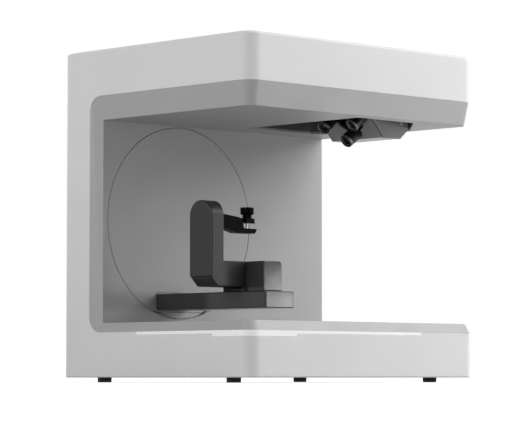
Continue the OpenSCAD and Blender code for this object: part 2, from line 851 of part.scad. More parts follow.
// Rocker of the power switch on its cross pin
module power_rocker() {
    r = rocker_h / 2 - turn_gap;
    color("dimgray") translate([switch_x, rocker_y, inlet_z]) rotate([-rocker_tilt, 0, 0]) {
        difference() {
            translate([-rocker_w / 2, 0, 0]) rotate([0, 90, 0]) cylinder(rocker_w, r = r);
            translate([-rocker_w, -big - rocker_back, -big / 2]) cube([2 * rocker_w, big, big]);
        }
        translate([-rocker_w / 2, 0, -rocker_h / 2 + 1])
            cube([rocker_w, rocker_face, rocker_h - 2]);
        translate([-rocker_w / 2 - 1.7, 0, 0]) rotate([0, 90, 0])
            cylinder(rocker_w + 3.4, r = rocker_pin_r);
    }
}

// Ring about the roll axis, from y to y + h
module roll_ring(y, h, outer, inner) {
    translate([axis_x, y, axis_z]) rotate([-90, 0, 0]) difference() {
        cylinder(h, r = outer, $fn = shell_fn);
        translate([0, 0, -1]) cylinder(h + 2, r = inner, $fn = shell_fn);
    }
}

module roll_bearing_outer() {
    color("silver") roll_ring(plate_y, column_plate_t, bearing_r, roll_shaft_r + 4);
}

module roll_bearing_inner() {
    color("silver") roll_ring(plate_y, column_plate_t, roll_shaft_r + 4 - run_gap, roll_shaft_r);
}

module roll_motor() {
    color("dimgray") translate([motor_x, plate_back_y, axis_z]) rotate([-90, 0, 0])
        difference() {
            translate([-motor_side / 2, -motor_side / 2, 0]) cube([motor_side, motor_side, motor_len]);
            translate([0, 0, -1]) cylinder(7, r = motor_shaft_r + run_gap);
        }
}

module roll_motor_pulley() {
    reach = plate_back_y - pulley_y + 5;
    color("silver") translate([motor_x, pulley_y, axis_z]) rotate([-90, 0, 0]) {
        cylinder(pulley_w, r = roll_pinion_r);
        cylinder(reach, r = motor_shaft_r);
    }
}

// Path of a belt round pulleys of radius a and b, the second a distance s along X
belt_steps = 32;
function arc(x, r, from, to) = [
    for (i = [0 : belt_steps]) let (t = from + (to - from) * i / belt_steps)
        [x + r * cos(t), r * sin(t)]
];
function belt_path(a, b, s) = let (k = acos((a - b) / s))
    concat(arc(0, a, k, 360 - k), arc(s, b, -k, k));

module belt(a, b, s, w) {
    gap = turn_gap + 0.1;
    linear_extrude(w) difference() {
        polygon(belt_path(a + gap + belt_t, b + gap + belt_t, s));
        polygon(belt_path(a + gap, b + gap, s));
    }
}

module roll_belt() {
    color("black") translate([axis_x, pulley_y + 6, axis_z]) rotate([90, 0, 0])
        belt(roll_pulley_r, roll_pinion_r, roll_belt_span, pulley_w - 2);
}

module disc() {
    color("silver") difference() {
        translate([axis_x, wall_y, axis_z]) rotate([-90, 0, 0])
            cylinder(disc_t, r = disc_r, $fn = 128);
        translate([axis_x - flange_w / 2 - seat_gap, wall_y - 1, beam_mid_z - flange_h / 2 - seat_gap])
            cube([flange_w + 2 * seat_gap, 1 + flange_t, flange_h + 2 * seat_gap]);
        translate([duct_x, wall_y - 1, duct_z]) cube([duct_w, disc_t + 2, duct_h]);
    }
}

duct_x = beam_x + beam_w / 2 - duct_w / 2;
duct_z = beam_z + duct_cover_t;

module roll_pulley() {
    color("silver") roll_ring(disc_back_y, pulley_gap + pulley_w, roll_pulley_r, roll_shaft_r);
}

module roll_shaft() {
    color("lightgray") roll_ring(disc_back_y, plate_back_y + 8 - disc_back_y, roll_shaft_r, roll_bore_r);
}

module shaft_nut() {
    color("dimgray") difference() {
        roll_ring(plate_back_y + 0.5, 6, roll_shaft_r + 6, roll_shaft_r);
        for (a = [0 : 90 : 270]) translate([axis_x, 0, axis_z]) rotate([0, a, 0])
            translate([roll_shaft_r + 3.5, plate_back_y, -2]) cube([5, 8, 4]);
    }
}

module arm_flange() {
    color("dimgray") difference() {
        translate([axis_x - flange_w / 2, wall_y, beam_mid_z - flange_h / 2])
            cube([flange_w, flange_t, flange_h]);
        translate([duct_x, wall_y - 1, duct_z]) cube([duct_w, flange_t + 2, duct_h]);
    }
}

// Beam of the swing arm, with a cable duct in its underside
module swing_beam() {
    color([0.13, 0.13, 0.13]) difference() {
        translate([0, 0, beam_z]) linear_extrude(beam_t) union() {
            translate([beam_x, beam_y + beam_edge_r]) square([beam_w, beam_len - beam_edge_r]);
            translate([beam_x + beam_edge_r, beam_y]) square([beam_w - 2 * beam_edge_r, beam_edge_r + 1]);
            for (x = [beam_x + beam_edge_r, beam_x + beam_w - beam_edge_r])
                translate([x, beam_y + beam_edge_r]) circle(beam_edge_r);
        }
        translate([duct_x, beam_y + 20, beam_z - 1]) cube([duct_w, beam_len - 19, duct_h + duct_cover_t + 1]);
        translate([cable_x, block_y + 12, beam_z - 1]) cylinder(beam_t + 2, r = 3);
    }
}

cable_x = block_x + block_w / 2;

module beam_cover() {
    color([0.1, 0.1, 0.1]) translate([duct_x + seat_gap, beam_y + 20 + seat_gap, beam_z])
        cube([duct_w - 2 * seat_gap, beam_len - 20 - 2 * seat_gap, duct_cover_t]);
}

// Block that houses the spindle drive's board, with its top right edge rounded
module drive_block() {
    w = block_w;
    h = block_h;
    r = block_edge_r;
    color([0.15, 0.15, 0.15]) difference() {
        translate([block_x, block_y + block_d, beam_top_z]) rotate([90, 0, 0]) linear_extrude(block_d)
            union() {
                square([w - r, h]);
                square([w, h - r]);
                translate([w - r, h - r]) circle(r);
            }
        translate([block_x + block_wall, block_y + block_wall, beam_top_z - 1])
            cube([w - 2 * block_wall, block_d - 2 * block_wall, h - block_wall + 1]);
        translate([block_x - 1, spindle_y - 5, spin_motor_z - 5]) cube([block_wall + 2, 10, 10]);
    }
}

module block_spacer() {
    color([0.08, 0.08, 0.08]) translate([block_x - spacer_w, bracket_y + 1, beam_top_z])
        cube([spacer_w, pillar_d - 2, bracket_lift]);
}

// Outline of the pillar seen from its left, with its round top, moved in by g
module pillar_outline(g, z) {
    r = pillar_d / 2 - g;
    union() {
        translate([spindle_y - r, z]) square([2 * r, spindle_z - z]);
        translate([spindle_y, spindle_z]) circle(r, $fn = shell_fn);
    }
}

module pillar_prism(x, w, g, z) {
    translate([x, 0, 0]) rotate([90, 0, 90]) linear_extrude(w) pillar_outline(g, z);
}

// L-shaped housing from the drive block to the spindle
module spindle_bracket() {
    inner_w = pillar_w - cover_t - bracket_wall;
    low_x = bracket_x + bracket_chamfer - 1.5;
    color([0.16, 0.16, 0.16]) difference() {
        union() {
            pillar_prism(bracket_x + cover_t, pillar_w - cover_t, 0, bracket_z);
            translate([bracket_x + cover_t, bracket_y, bracket_z])
                cube([block_x - bracket_x - cover_t, pillar_d, bracket_foot_h]);
            translate([pillar_right_x, spindle_y, spindle_z]) rotate([0, 90, 0])
                cylinder(collar_t, r = collar_r);
        }
        // chamfer under the lower left corner
        translate([0, bracket_y - 1, 0]) rotate([-90, 0, 0]) linear_extrude(pillar_d + 2)
            polygon([
                [bracket_x - 1, -bracket_z - bracket_chamfer - 1],
                [bracket_x - 1, -bracket_z + 1],
                [bracket_x + bracket_chamfer + 1, -bracket_z + 1]
            ]);
        // belt space in the pillar
        pillar_prism(bracket_x + cover_t - 1, inner_w + 1, bracket_wall, bracket_z + bracket_chamfer);
        translate([low_x, bracket_y + bracket_wall, bracket_z + bracket_wall])
            cube([bracket_x + cover_t + inner_w - low_x, pillar_d - 2 * bracket_wall, bracket_chamfer]);
        // motor space in the foot
        translate([low_x + 2, bracket_y + bracket_wall, bracket_z + bracket_wall])
            cube([block_x - low_x, pillar_d - 2 * bracket_wall, bracket_foot_h - 2 * bracket_wall]);
        // bearing seat
        translate([pillar_right_x - bracket_wall - 1, spindle_y, spindle_z]) rotate([0, 90, 0])
            cylinder(spindle_bearing_w + 2, r = spindle_bearing_r);
    }
}

module bracket_cover() {
    color([0.14, 0.14, 0.14]) difference() {
        pillar_prism(bracket_x, cover_t, 0, bracket_z);
        translate([0, bracket_y - 1, 0]) rotate([-90, 0, 0]) linear_extrude(pillar_d + 2)
            polygon([
                [bracket_x - 1, -bracket_z - bracket_chamfer - 1],
                [bracket_x - 1, -bracket_z + 1],
                [bracket_x + bracket_chamfer + 1, -bracket_z + 1]
            ]);
    }
}

spin_motor_x = spin_pulley_x + spin_pulley_w + 1.5;
spin_motor_len = block_x - spin_motor_x - 1;

module spin_motor() {
    s = spin_motor_side;
    color("dimgray") translate([spin_motor_x, spindle_y, spin_motor_z]) rotate([0, 90, 0])
        difference() {
            translate([-s / 2, -s / 2, 0]) cube([s, s, spin_motor_len]);
            translate([0, 0, -1]) cylinder(7, r = 1.5 + run_gap);
        }
}

module spin_belt() {
    color("black") translate([spin_pulley_x + 0.5, spindle_y, spindle_z]) rotate([0, 90, 0])
        belt(spindle_pulley_r, spin_pinion_r, spindle_z - spin_motor_z, spin_pulley_w - 1);
}

module spindle_bearing() {
    color("silver") translate([pillar_right_x - bracket_wall, spindle_y, spindle_z])
        rotate([0, 90, 0]) difference() {
            cylinder(spindle_bearing_w, r = spindle_bearing_r);
            translate([0, 0, -1]) cylinder(spindle_bearing_w + 2, r = spindle_r + run_gap);
        }
}

arm_board_front_gap = 6;
arm_board_rear_gap = 8;
arm_board_rise = 3;
arm_board_top_gap = 9;

// Small driver board inside the drive block
module arm_board() {
    color("seagreen")
        translate([
            block_x + block_w - block_wall - board_t,
            block_y + arm_board_front_gap,
            beam_top_z + arm_board_rise
        ])
            cube([
                board_t,
                block_d - arm_board_front_gap - arm_board_rear_gap,
                block_h - arm_board_rise - arm_board_top_gap
            ]);
}

spin_shaft_reach = 6;
spin_shaft_r = 1.5;

module spin_motor_pulley() {
    color("silver") translate([spin_pulley_x, spindle_y, spin_motor_z]) rotate([0, 90, 0]) {
        cylinder(spin_pulley_w, r = spin_pinion_r);
        cylinder(spin_pulley_w + spin_shaft_reach, r = spin_shaft_r);
    }
}

module spindle() {
    color("silver") translate([spin_pulley_x, spindle_y, spindle_z]) rotate([0, 90, 0]) {
        cylinder(spindle_end_x - spin_pulley_x, r = spindle_r);
        translate([0, 0, spindle_end_x - spin_pulley_x])
            cylinder(spindle_flange_t, r = spindle_flange_r);
    }
}

module spindle_pulley() {
    color("silver") translate([spin_pulley_x, spindle_y, spindle_z]) rotate([0, 90, 0])
        difference() {
            cylinder(spin_pulley_w, r = spindle_pulley_r);
            translate([0, 0, -1]) cylinder(spin_pulley_w + 2, r = spindle_r);
        }
}

// Cranked arm of the clamp: it drops from the spindle to the lower jaw
module clamp_arm() {
    root_up = 2.8;
    root_down = 9.6;
    bend_x = screw_x - 18.5;
    low = -jaw_drop - jaw_t;
    color([0.1, 0.1, 0.1]) difference() {
        translate([0, spindle_y + clamp_w / 2, spindle_z]) rotate([90, 0, 0]) linear_extrude(clamp_w)
            polygon([
                [arm_root_x, root_up], [bend_x, 0.3], [throat_x - 2.5, -1], [throat_x, -jaw_drop],
                [jaw_tip_x, -jaw_drop], [jaw_tip_x, -jaw_drop - 2], [jaw_tip_x - 2.5, low],
                [bend_x, low], [arm_root_x, -root_down]
            ]);
        translate([screw_x, spindle_y, lower_jaw_z - 4]) cylinder(6, r = stud_r);
    }
}

stud_top_z = knob_z + knob_h - 1;

module clamp_stud() {
    color("white") translate([screw_x, spindle_y, lower_jaw_z - 4])
        cylinder(stud_top_z - lower_jaw_z + 4, r = stud_r);
}

// Upper jaw, a pointed plate that slides on the stud
module upper_jaw() {
    back = 6.5;
    tip = screw_setback + 1.5;
    side = clamp_w / 2;
    color([0.12, 0.12, 0.12]) translate([screw_x, spindle_y, upper_jaw_z]) difference() {
        linear_extrude(upper_jaw_t)
            polygon([[-back, -side], [screw_setback - 4, -side], [tip, -1.2], [tip, 1.2],
                     [screw_setback - 4, side], [-back, side]]);
        translate([0, 0, -1]) cylinder(upper_jaw_t + 2, r = stud_r + run_gap);
    }
}

// Knob that presses the upper jaw down: a lobed head on a neck
module clamp_knob() {
    lobes = 8;
    lobe_r = 1.6;
    color([0.12, 0.12, 0.12]) translate([screw_x, spindle_y, neck_z]) difference() {
        union() {
            cylinder(neck_h, r = neck_r);
            translate([0, 0, neck_h]) cylinder(knob_h, r = knob_r - lobe_r * 0.7);
            for (i = [0 : lobes - 1]) rotate([0, 0, i * 360 / lobes])
                translate([knob_r - lobe_r, 0, neck_h + 0.6]) cylinder(knob_h - 1.6, r = lobe_r);
        }
        translate([0, 0, -1]) cylinder(neck_h + knob_h + 2, r = stud_r + run_gap);
    }
}

// Section of the pod across its length, with every face moved in by g
module pod_section(g) {
    plate_in = g / sin(plate_slope);
    side_in = g / sin(pod_side_slope);
    polygon([
        [pod_floor_x + plate_in - g / tan(plate_slope), pod_floor_z + g],
        [pod_right_x - side_in + g / tan(pod_side_slope), pod_floor_z + g],
        [pod_side_x - g, pod_side_z + g / cos(pod_side_slope) - g * tan(pod_side_slope)],
        [pod_side_x - g, well_top_z],
        [pod_top_x + plate_in, well_top_z]
    ]);
}

module pod_prism(g, y, len) {
    translate([0, y + len, 0]) rotate([90, 0, 0]) linear_extrude(len) pod_section(g);
}

// The slice of the pod's section that the inclined plate fills
module plate_zone(grow) {
    n = [-sin(plate_slope), -cos(plate_slope)];
    t = [-cos(plate_slope), sin(plate_slope)];
    base = [pod_floor_x, pod_floor_z];
    a = base - 20 * t + 5 * n;
    b = base + 80 * t + 5 * n;
    depth = 5 + plate_t + grow;
    translate([0, pod_back_y + 5, 0]) rotate([90, 0, 0]) linear_extrude(pod_len + 10)
        polygon([a, b, b - depth * n, a - depth * n]);
}

module pod_housing() {
    color("darkgray") difference() {
        pod_prism(0, pod_front_y, pod_len);
        pod_prism(pod_wall, pod_front_y + pod_wall, pod_len - 2 * pod_wall);
        plate_zone(0);
    }
}

module pod_plate() {
    color("gray") difference() {
        intersection() {
            pod_prism(0, pod_front_y, pod_len);
            plate_zone(0);
        }
        for (u = [camera_dir_a, camera_dir_b, projector_dir])
            aim(u) translate([0, 0, -5]) cylinder(barrel_len + 20, r = barrel_r + 0.1);
        translate([camera_at_plate.x, spindle_y, camera_at_plate.z]) rotate([0, plate_slope, 0])
            translate([0, 0, -1]) cylinder(plate_t + 2, r = plate_window_r);
    }
}

// Places its children on the line of sight u, with Z from the lens away from the focus
module aim(u) {
    translate(focus + focus_distance * u)
        rotate([0, acos(u.z), atan2(u.y, u.x)]) children();
}

module barrel() {
    color("black") difference() {
        cylinder(barrel_len, r = barrel_r);
        translate([0, 0, -1]) cylinder(8, r = lens_r);
    }
}

module lens() {
    color("midnightblue") translate([0, 0, 3]) cylinder(2, r = lens_r - run_gap);
}

module rear_camera_barrel() { aim(camera_dir_a) barrel(); }
module front_camera_barrel() { aim(camera_dir_b) barrel(); }
module projector_barrel() { aim(projector_dir) barrel(); }
module rear_camera_lens() { aim(camera_dir_a) lens(); }
module front_camera_lens() { aim(camera_dir_b) lens(); }
module projector_lens() { aim(projector_dir) lens(); }

module lens_bezels() {
    color("gray") for (u = [camera_dir_a, camera_dir_b, projector_dir]) aim(u)
        translate([0, 0, -0.8]) difference() {
            cylinder(0.8, r = barrel_r);
            translate([0, 0, -1]) cylinder(3, r = lens_r + 0.4);
        }
}

module square_module(t) {
    translate([-module_w / 2, -module_w / 2, barrel_len]) cube([module_w, module_w, t]);
}

// Camera bodies on the ends of their barrels
module camera_modules() {
    color("dimgray") for (u = [camera_dir_a, camera_dir_b]) aim(u) square_module(camera_module_t);
}

module projector_module() {
    color("dimgray") aim(projector_dir) square_module(projector_module_t);
}

outer_casing();
bay_liner();
rear_cover();
base_plate();
base_frame();
column_plate();
head_beam();
head_well();
light_bar();
light_board();
feet();
foot_screws();
cover_screws();
frame_bolts();
main_board();
power_supply();
power_inlet();
data_socket();
switch_bezel();
power_rocker();
roll_bearing_outer();
roll_bearing_inner();
roll_motor();
roll_motor_pulley();
roll_belt();
disc();
roll_pulley();
roll_shaft();
shaft_nut();
arm_flange();
swing_beam();
beam_cover();
drive_block();
block_spacer();
spindle_bracket();
bracket_cover();
spin_motor();
spin_belt();
spindle_bearing();
arm_board();
spin_motor_pulley();
spindle();
spindle_pulley();
clamp_arm();
clamp_stud();
upper_jaw();
clamp_knob();
pod_housing();
pod_plate();
rear_camera_barrel();
front_camera_barrel();
projector_barrel();
rear_camera_lens();
front_camera_lens();
projector_lens();
lens_bezels();
camera_modules();
projector_module();
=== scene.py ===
# %% [markdown]
# # A desktop 3D scanner in a white studio
# The real object is a C-shaped cabinet of pale moulded plastic. Inside its bay a disc swings a
# black arm with a small clamp, and three lens barrels look down at the sample. Its measured
# solids come ready made in one frame. This lesson gives them soft edges, fine parts and finishes.

# %% Load the frame
import json
import math

import bmesh
import bpy
from mathutils import Matrix, Vector


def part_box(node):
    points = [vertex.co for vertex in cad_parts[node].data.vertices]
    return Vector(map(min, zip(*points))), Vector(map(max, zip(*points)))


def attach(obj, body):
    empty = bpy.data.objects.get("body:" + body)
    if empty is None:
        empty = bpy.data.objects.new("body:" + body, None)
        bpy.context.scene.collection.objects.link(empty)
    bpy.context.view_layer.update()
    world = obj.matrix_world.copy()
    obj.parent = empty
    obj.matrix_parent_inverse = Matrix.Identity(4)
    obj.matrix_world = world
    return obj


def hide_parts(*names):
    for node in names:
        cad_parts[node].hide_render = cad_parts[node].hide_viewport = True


MM = 0.001
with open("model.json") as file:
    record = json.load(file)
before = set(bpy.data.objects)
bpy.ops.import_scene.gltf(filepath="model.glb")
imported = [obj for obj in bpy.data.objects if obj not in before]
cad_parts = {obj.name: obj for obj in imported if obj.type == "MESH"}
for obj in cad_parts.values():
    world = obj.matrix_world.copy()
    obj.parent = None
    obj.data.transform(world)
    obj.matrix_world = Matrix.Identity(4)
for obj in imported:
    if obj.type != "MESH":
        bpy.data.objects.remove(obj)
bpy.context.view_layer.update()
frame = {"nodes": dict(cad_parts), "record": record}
solids = frame["nodes"]

# %% [markdown]
# ## Where the camera stands
# The photograph was taken from low on the left, a long way off, so the upright edges stay
# upright and the table is seen edge-on. A long lens far away gives that flat perspective. The
# place, the turn and the lens were fitted to the cabinet's straight edges.

# %% Camera
TILT, HEADING = math.radians(93.55), math.radians(-44.24)
bpy.ops.object.select_all(action="DESELECT")
bpy.ops.object.camera_add(location=(-1.926, -1.972, 0.0058), rotation=(TILT, 0, HEADING))
camera = bpy.context.object
camera.name = "camera"
camera.data.lens = 180.34
camera.data.sensor_width = 36
camera.data.clip_end = 50
bpy.context.scene.camera = camera
print("camera lens:", round(camera.data.lens, 1), "mm")

# %% [markdown]
# ## Light and background
# Product pictures are lit by large soft boxes. One stands on the left, and the strongest ones on
# the right, high enough that the head shades the top of the bay, so the bay brightens from left
# to right and downwards. A low strip near the table lights the front edge of the arm. A weak one
# behind serves the other views. The world is pale for light. It is white for the camera, through
# glass and for reflections.

# %% Soft boxes
BAY_MIDDLE = (0, 0, 0.17)
ARM_FRONT = (-0.06, -0.08, 0.09)
BOX_SIDE = 1.3


def soft_box(name, place, power, aim=BAY_MIDDLE, width=BOX_SIDE, height=BOX_SIDE):
    """A rectangular lamp that looks at a point."""
    bpy.ops.object.light_add(type="AREA", location=place)
    lamp = bpy.context.object
    lamp.name = name
    lamp.data.shape = "RECTANGLE"
    lamp.data.size = width
    lamp.data.size_y = height
    lamp.data.energy = power
    lamp.rotation_euler = (Vector(aim) - Vector(place)).to_track_quat("-Z", "Y").to_euler()


soft_box("left_box", (-2.07, 0, 0.92), 23.5)
soft_box("front_box", (0.8, -2.01, 0.9), 7.0)
soft_box("right_box", (1.63, -1.14, 1.2), 20)
soft_box("high_box", (0.91, -1.08, 1.85), 22)
soft_box("strip_box", (0.907, -0.947, 0.088), 1.55, ARM_FRONT, width=0.26, height=0.13)
soft_box("back_box", (0.5, 1.9, 1.0), 10)

# %% World
PALE, WHITE = 0.1, 1.0


def clear_sight(tree):
    """The output that is 1 where the camera sees straight on, through glass or by reflection."""
    rays = tree.nodes.new("ShaderNodeLightPath")
    seen = rays.outputs["Is Camera Ray"]
    for ray in ("Is Transmission Ray", "Is Glossy Ray"):
        larger = tree.nodes.new("ShaderNodeMath")
        larger.operation = "MAXIMUM"
        tree.links.new(seen, larger.inputs[0])
        tree.links.new(rays.outputs[ray], larger.inputs[1])
        seen = larger.outputs[0]
    return seen


world = bpy.data.worlds.new("studio")
bpy.context.scene.world = world
world.use_nodes = True
sky = world.node_tree
sky.nodes.clear()
blend = sky.nodes.new("ShaderNodeMixShader")
sky.links.new(clear_sight(sky), blend.inputs["Fac"])
for socket, level in ((1, PALE), (2, WHITE)):
    background = sky.nodes.new("ShaderNodeBackground")
    background.inputs["Color"].default_value = (1, 1, 1, 1)
    background.inputs["Strength"].default_value = level
    sky.links.new(background.outputs[0], blend.inputs[socket])
out = sky.nodes.new("ShaderNodeOutputWorld")
sky.links.new(blend.outputs[0], out.inputs["Surface"])
view = bpy.context.scene.view_settings
view.view_transform = "Standard"
print("view transform:", view.view_transform)

# %% [markdown]
# ## The floor
# The table is a plain white sheet. It is mostly a diffuse white, so it takes the object's soft
# shadow. What the camera and reflections see of it also glows, a little near the object and
# fully further out, so that the open sheet is as white as the background.

# %% Floor
SHEET_TONE = 0.42
GLOW_FROM, GLOW_TO = 0.4, 1.4  # distances from the middle, in metres
bpy.ops.object.select_all(action="DESELECT")
bpy.ops.mesh.primitive_plane_add(size=14, location=(0, 0, 0))
floor = bpy.context.object
floor.name = "floor"
sheet = bpy.data.materials.new("white_sheet")
sheet.use_nodes = True
tree = sheet.node_tree
base = tree.nodes["Principled BSDF"]
base.inputs["Base Color"].default_value = (SHEET_TONE, SHEET_TONE, SHEET_TONE, 1)
base.inputs["Roughness"].default_value = 0.9
base.inputs["Specular IOR Level"].default_value = 0.0
base.inputs["Emission Color"].default_value = (1, 1, 1, 1)
place = tree.nodes.new("ShaderNodeTexCoord")
reach = tree.nodes.new("ShaderNodeVectorMath")
reach.operation = "LENGTH"
tree.links.new(place.outputs["Object"], reach.inputs[0])
glow = tree.nodes.new("ShaderNodeMapRange")
glow.inputs["From Min"].default_value = GLOW_FROM
glow.inputs["From Max"].default_value = GLOW_TO
glow.inputs["To Min"].default_value = 0.72
glow.inputs["To Max"].default_value = 1.0
tree.links.new(reach.outputs["Value"], glow.inputs["Value"])
strength = tree.nodes.new("ShaderNodeMath")
strength.operation = "MULTIPLY"
tree.links.new(clear_sight(tree), strength.inputs[0])
tree.links.new(glow.outputs["Result"], strength.inputs[1])
tree.links.new(strength.outputs[0], base.inputs["Emission Strength"])
floor.data.materials.append(sheet)
print("floor laid")

# %% [markdown]
# ## Surface effects, built once
# Moulded plastic, powder paint and cast metal all have a fine relief and a slow drift in tone.
# Each effect is a node group with named inputs, so that every finish can set its own scale. The
# patterns read Object coordinates, which stay with the piece from any side.

# %% Group helpers
def new_group(name, inputs, outputs):
    """A node group with number inputs (name: value) and named number outputs."""
    group = bpy.data.node_groups.new(name, "ShaderNodeTree")
    for label, value in inputs.items():
        socket = group.interface.new_socket(label, in_out="INPUT", socket_type="NodeSocketFloat")
        socket.default_value = value
    for label in outputs:
        group.interface.new_socket(label, in_out="OUTPUT", socket_type="NodeSocketFloat")
    start = group.nodes.new("NodeGroupInput")
    end = group.nodes.new("NodeGroupOutput")
    return group, start, end


def noise(group, detail, roughness):
    """A noise texture on Object coordinates."""
    place = group.nodes.new("ShaderNodeTexCoord")
    texture = group.nodes.new("ShaderNodeTexNoise")
    texture.inputs["Detail"].default_value = detail
    texture.inputs["Roughness"].default_value = roughness
    group.links.new(place.outputs["Object"], texture.inputs["Vector"])
    return texture


# %% Grain group: the fine relief of a moulded or sprayed surface
grain, start, end = new_group("Grain", {"Size": 1500.0}, ["Height"])
fine = noise(grain, 2.0, 0.5)
grain.links.new(start.outputs["Size"], fine.inputs["Scale"])
grain.links.new(fine.outputs["Fac"], end.inputs["Height"])
print("effect group:", grain.name)

# %% Drift group: a slow change of tone and of gloss over a surface
drift, start, end = new_group("Drift", {"Size": 12.0, "Low": 0.4, "High": 0.6}, ["Value"])
slow = noise(drift, 3.0, 0.55)
drift.links.new(start.outputs["Size"], slow.inputs["Scale"])
spread = drift.nodes.new("ShaderNodeMapRange")
spread.inputs["From Min"].default_value = 0.3
spread.inputs["From Max"].default_value = 0.7
drift.links.new(slow.outputs["Fac"], spread.inputs["Value"])
drift.links.new(start.outputs["Low"], spread.inputs["To Min"])
drift.links.new(start.outputs["High"], spread.inputs["To Max"])
drift.links.new(spread.outputs["Result"], end.inputs["Value"])
print("effect group:", drift.name)

# %% Turned group: the fine rings that a lathe or a brush leaves on metal
turned, start, end = new_group("Turned", {"Size": 900.0, "Stretch": 0.04}, ["Height"])
place = turned.nodes.new("ShaderNodeTexCoord")
squeeze = turned.nodes.new("ShaderNodeVectorMath")
squeeze.operation = "MULTIPLY"
axes = turned.nodes.new("ShaderNodeCombineXYZ")
axes.inputs["Z"].default_value = 1.0
turned.links.new(start.outputs["Stretch"], axes.inputs["X"])
turned.links.new(start.outputs["Stretch"], axes.inputs["Y"])
turned.links.new(place.outputs["Object"], squeeze.inputs[0])
turned.links.new(axes.outputs[0], squeeze.inputs[1])
lines = turned.nodes.new("ShaderNodeTexNoise")
lines.inputs["Detail"].default_value = 2.0
turned.links.new(squeeze.outputs[0], lines.inputs["Vector"])
turned.links.new(start.outputs["Size"], lines.inputs["Scale"])
turned.links.new(lines.outputs["Fac"], end.inputs["Height"])
print("effect groups:", [group.name for group in bpy.data.node_groups])

# %% [markdown]
# ## Finishes
# Each finish starts from the Principled shader. Its colour moves between two close tones, its
# roughness between two values, and its relief comes from one of the groups through a Bump node.
# What is the same all over is set on the shader's own socket.

# %% Finish helpers
def use_group(tree, group, **values):
    """Places a group in a material with its own values."""
    placed = tree.nodes.new("ShaderNodeGroup")
    placed.node_tree = group
    for label, value in values.items():
        placed.inputs[label].default_value = value
    return placed


def finish(name, dark, light, rough, relief=grain, size=1500.0, depth=0.1, metal=0.0, coat=0.0,
           sheen=0.5, patch=12.0):
    """A finish whose tone and gloss drift between two values, over a fine relief."""
    made = bpy.data.materials.new(name)
    made.use_nodes = True
    tree = made.node_tree
    shader = tree.nodes["Principled BSDF"]
    shader.inputs["Metallic"].default_value = metal
    shader.inputs["Coat Weight"].default_value = coat
    shader.inputs["Coat Roughness"].default_value = 0.15
    shader.inputs["Specular IOR Level"].default_value = sheen
    tones = tree.nodes.new("ShaderNodeMix")
    tones.data_type = "RGBA"
    tones.inputs["A"].default_value = (*dark, 1)
    tones.inputs["B"].default_value = (*light, 1)
    tone = use_group(tree, drift, Size=patch, Low=0.0, High=1.0)
    tree.links.new(tone.outputs["Value"], tones.inputs["Factor"])
    tree.links.new(tones.outputs["Result"], shader.inputs["Base Color"])
    gloss = use_group(tree, drift, Size=patch * 2.3, Low=rough[0], High=rough[1])
    tree.links.new(gloss.outputs["Value"], shader.inputs["Roughness"])
    surface = use_group(tree, relief, Size=size)
    bump = tree.nodes.new("ShaderNodeBump")
    bump.inputs["Strength"].default_value = depth
    bump.inputs["Distance"].default_value = 0.0002
    tree.links.new(surface.outputs["Height"], bump.inputs["Height"])
    tree.links.new(bump.outputs["Normal"], shader.inputs["Normal"])
    made.diffuse_color = (*light, 1)
    return made


def grey(value, warm=0.0):
    """A neutral colour, slightly warm or cool."""
    return (value * (1 + warm), value, value * (1 - warm))


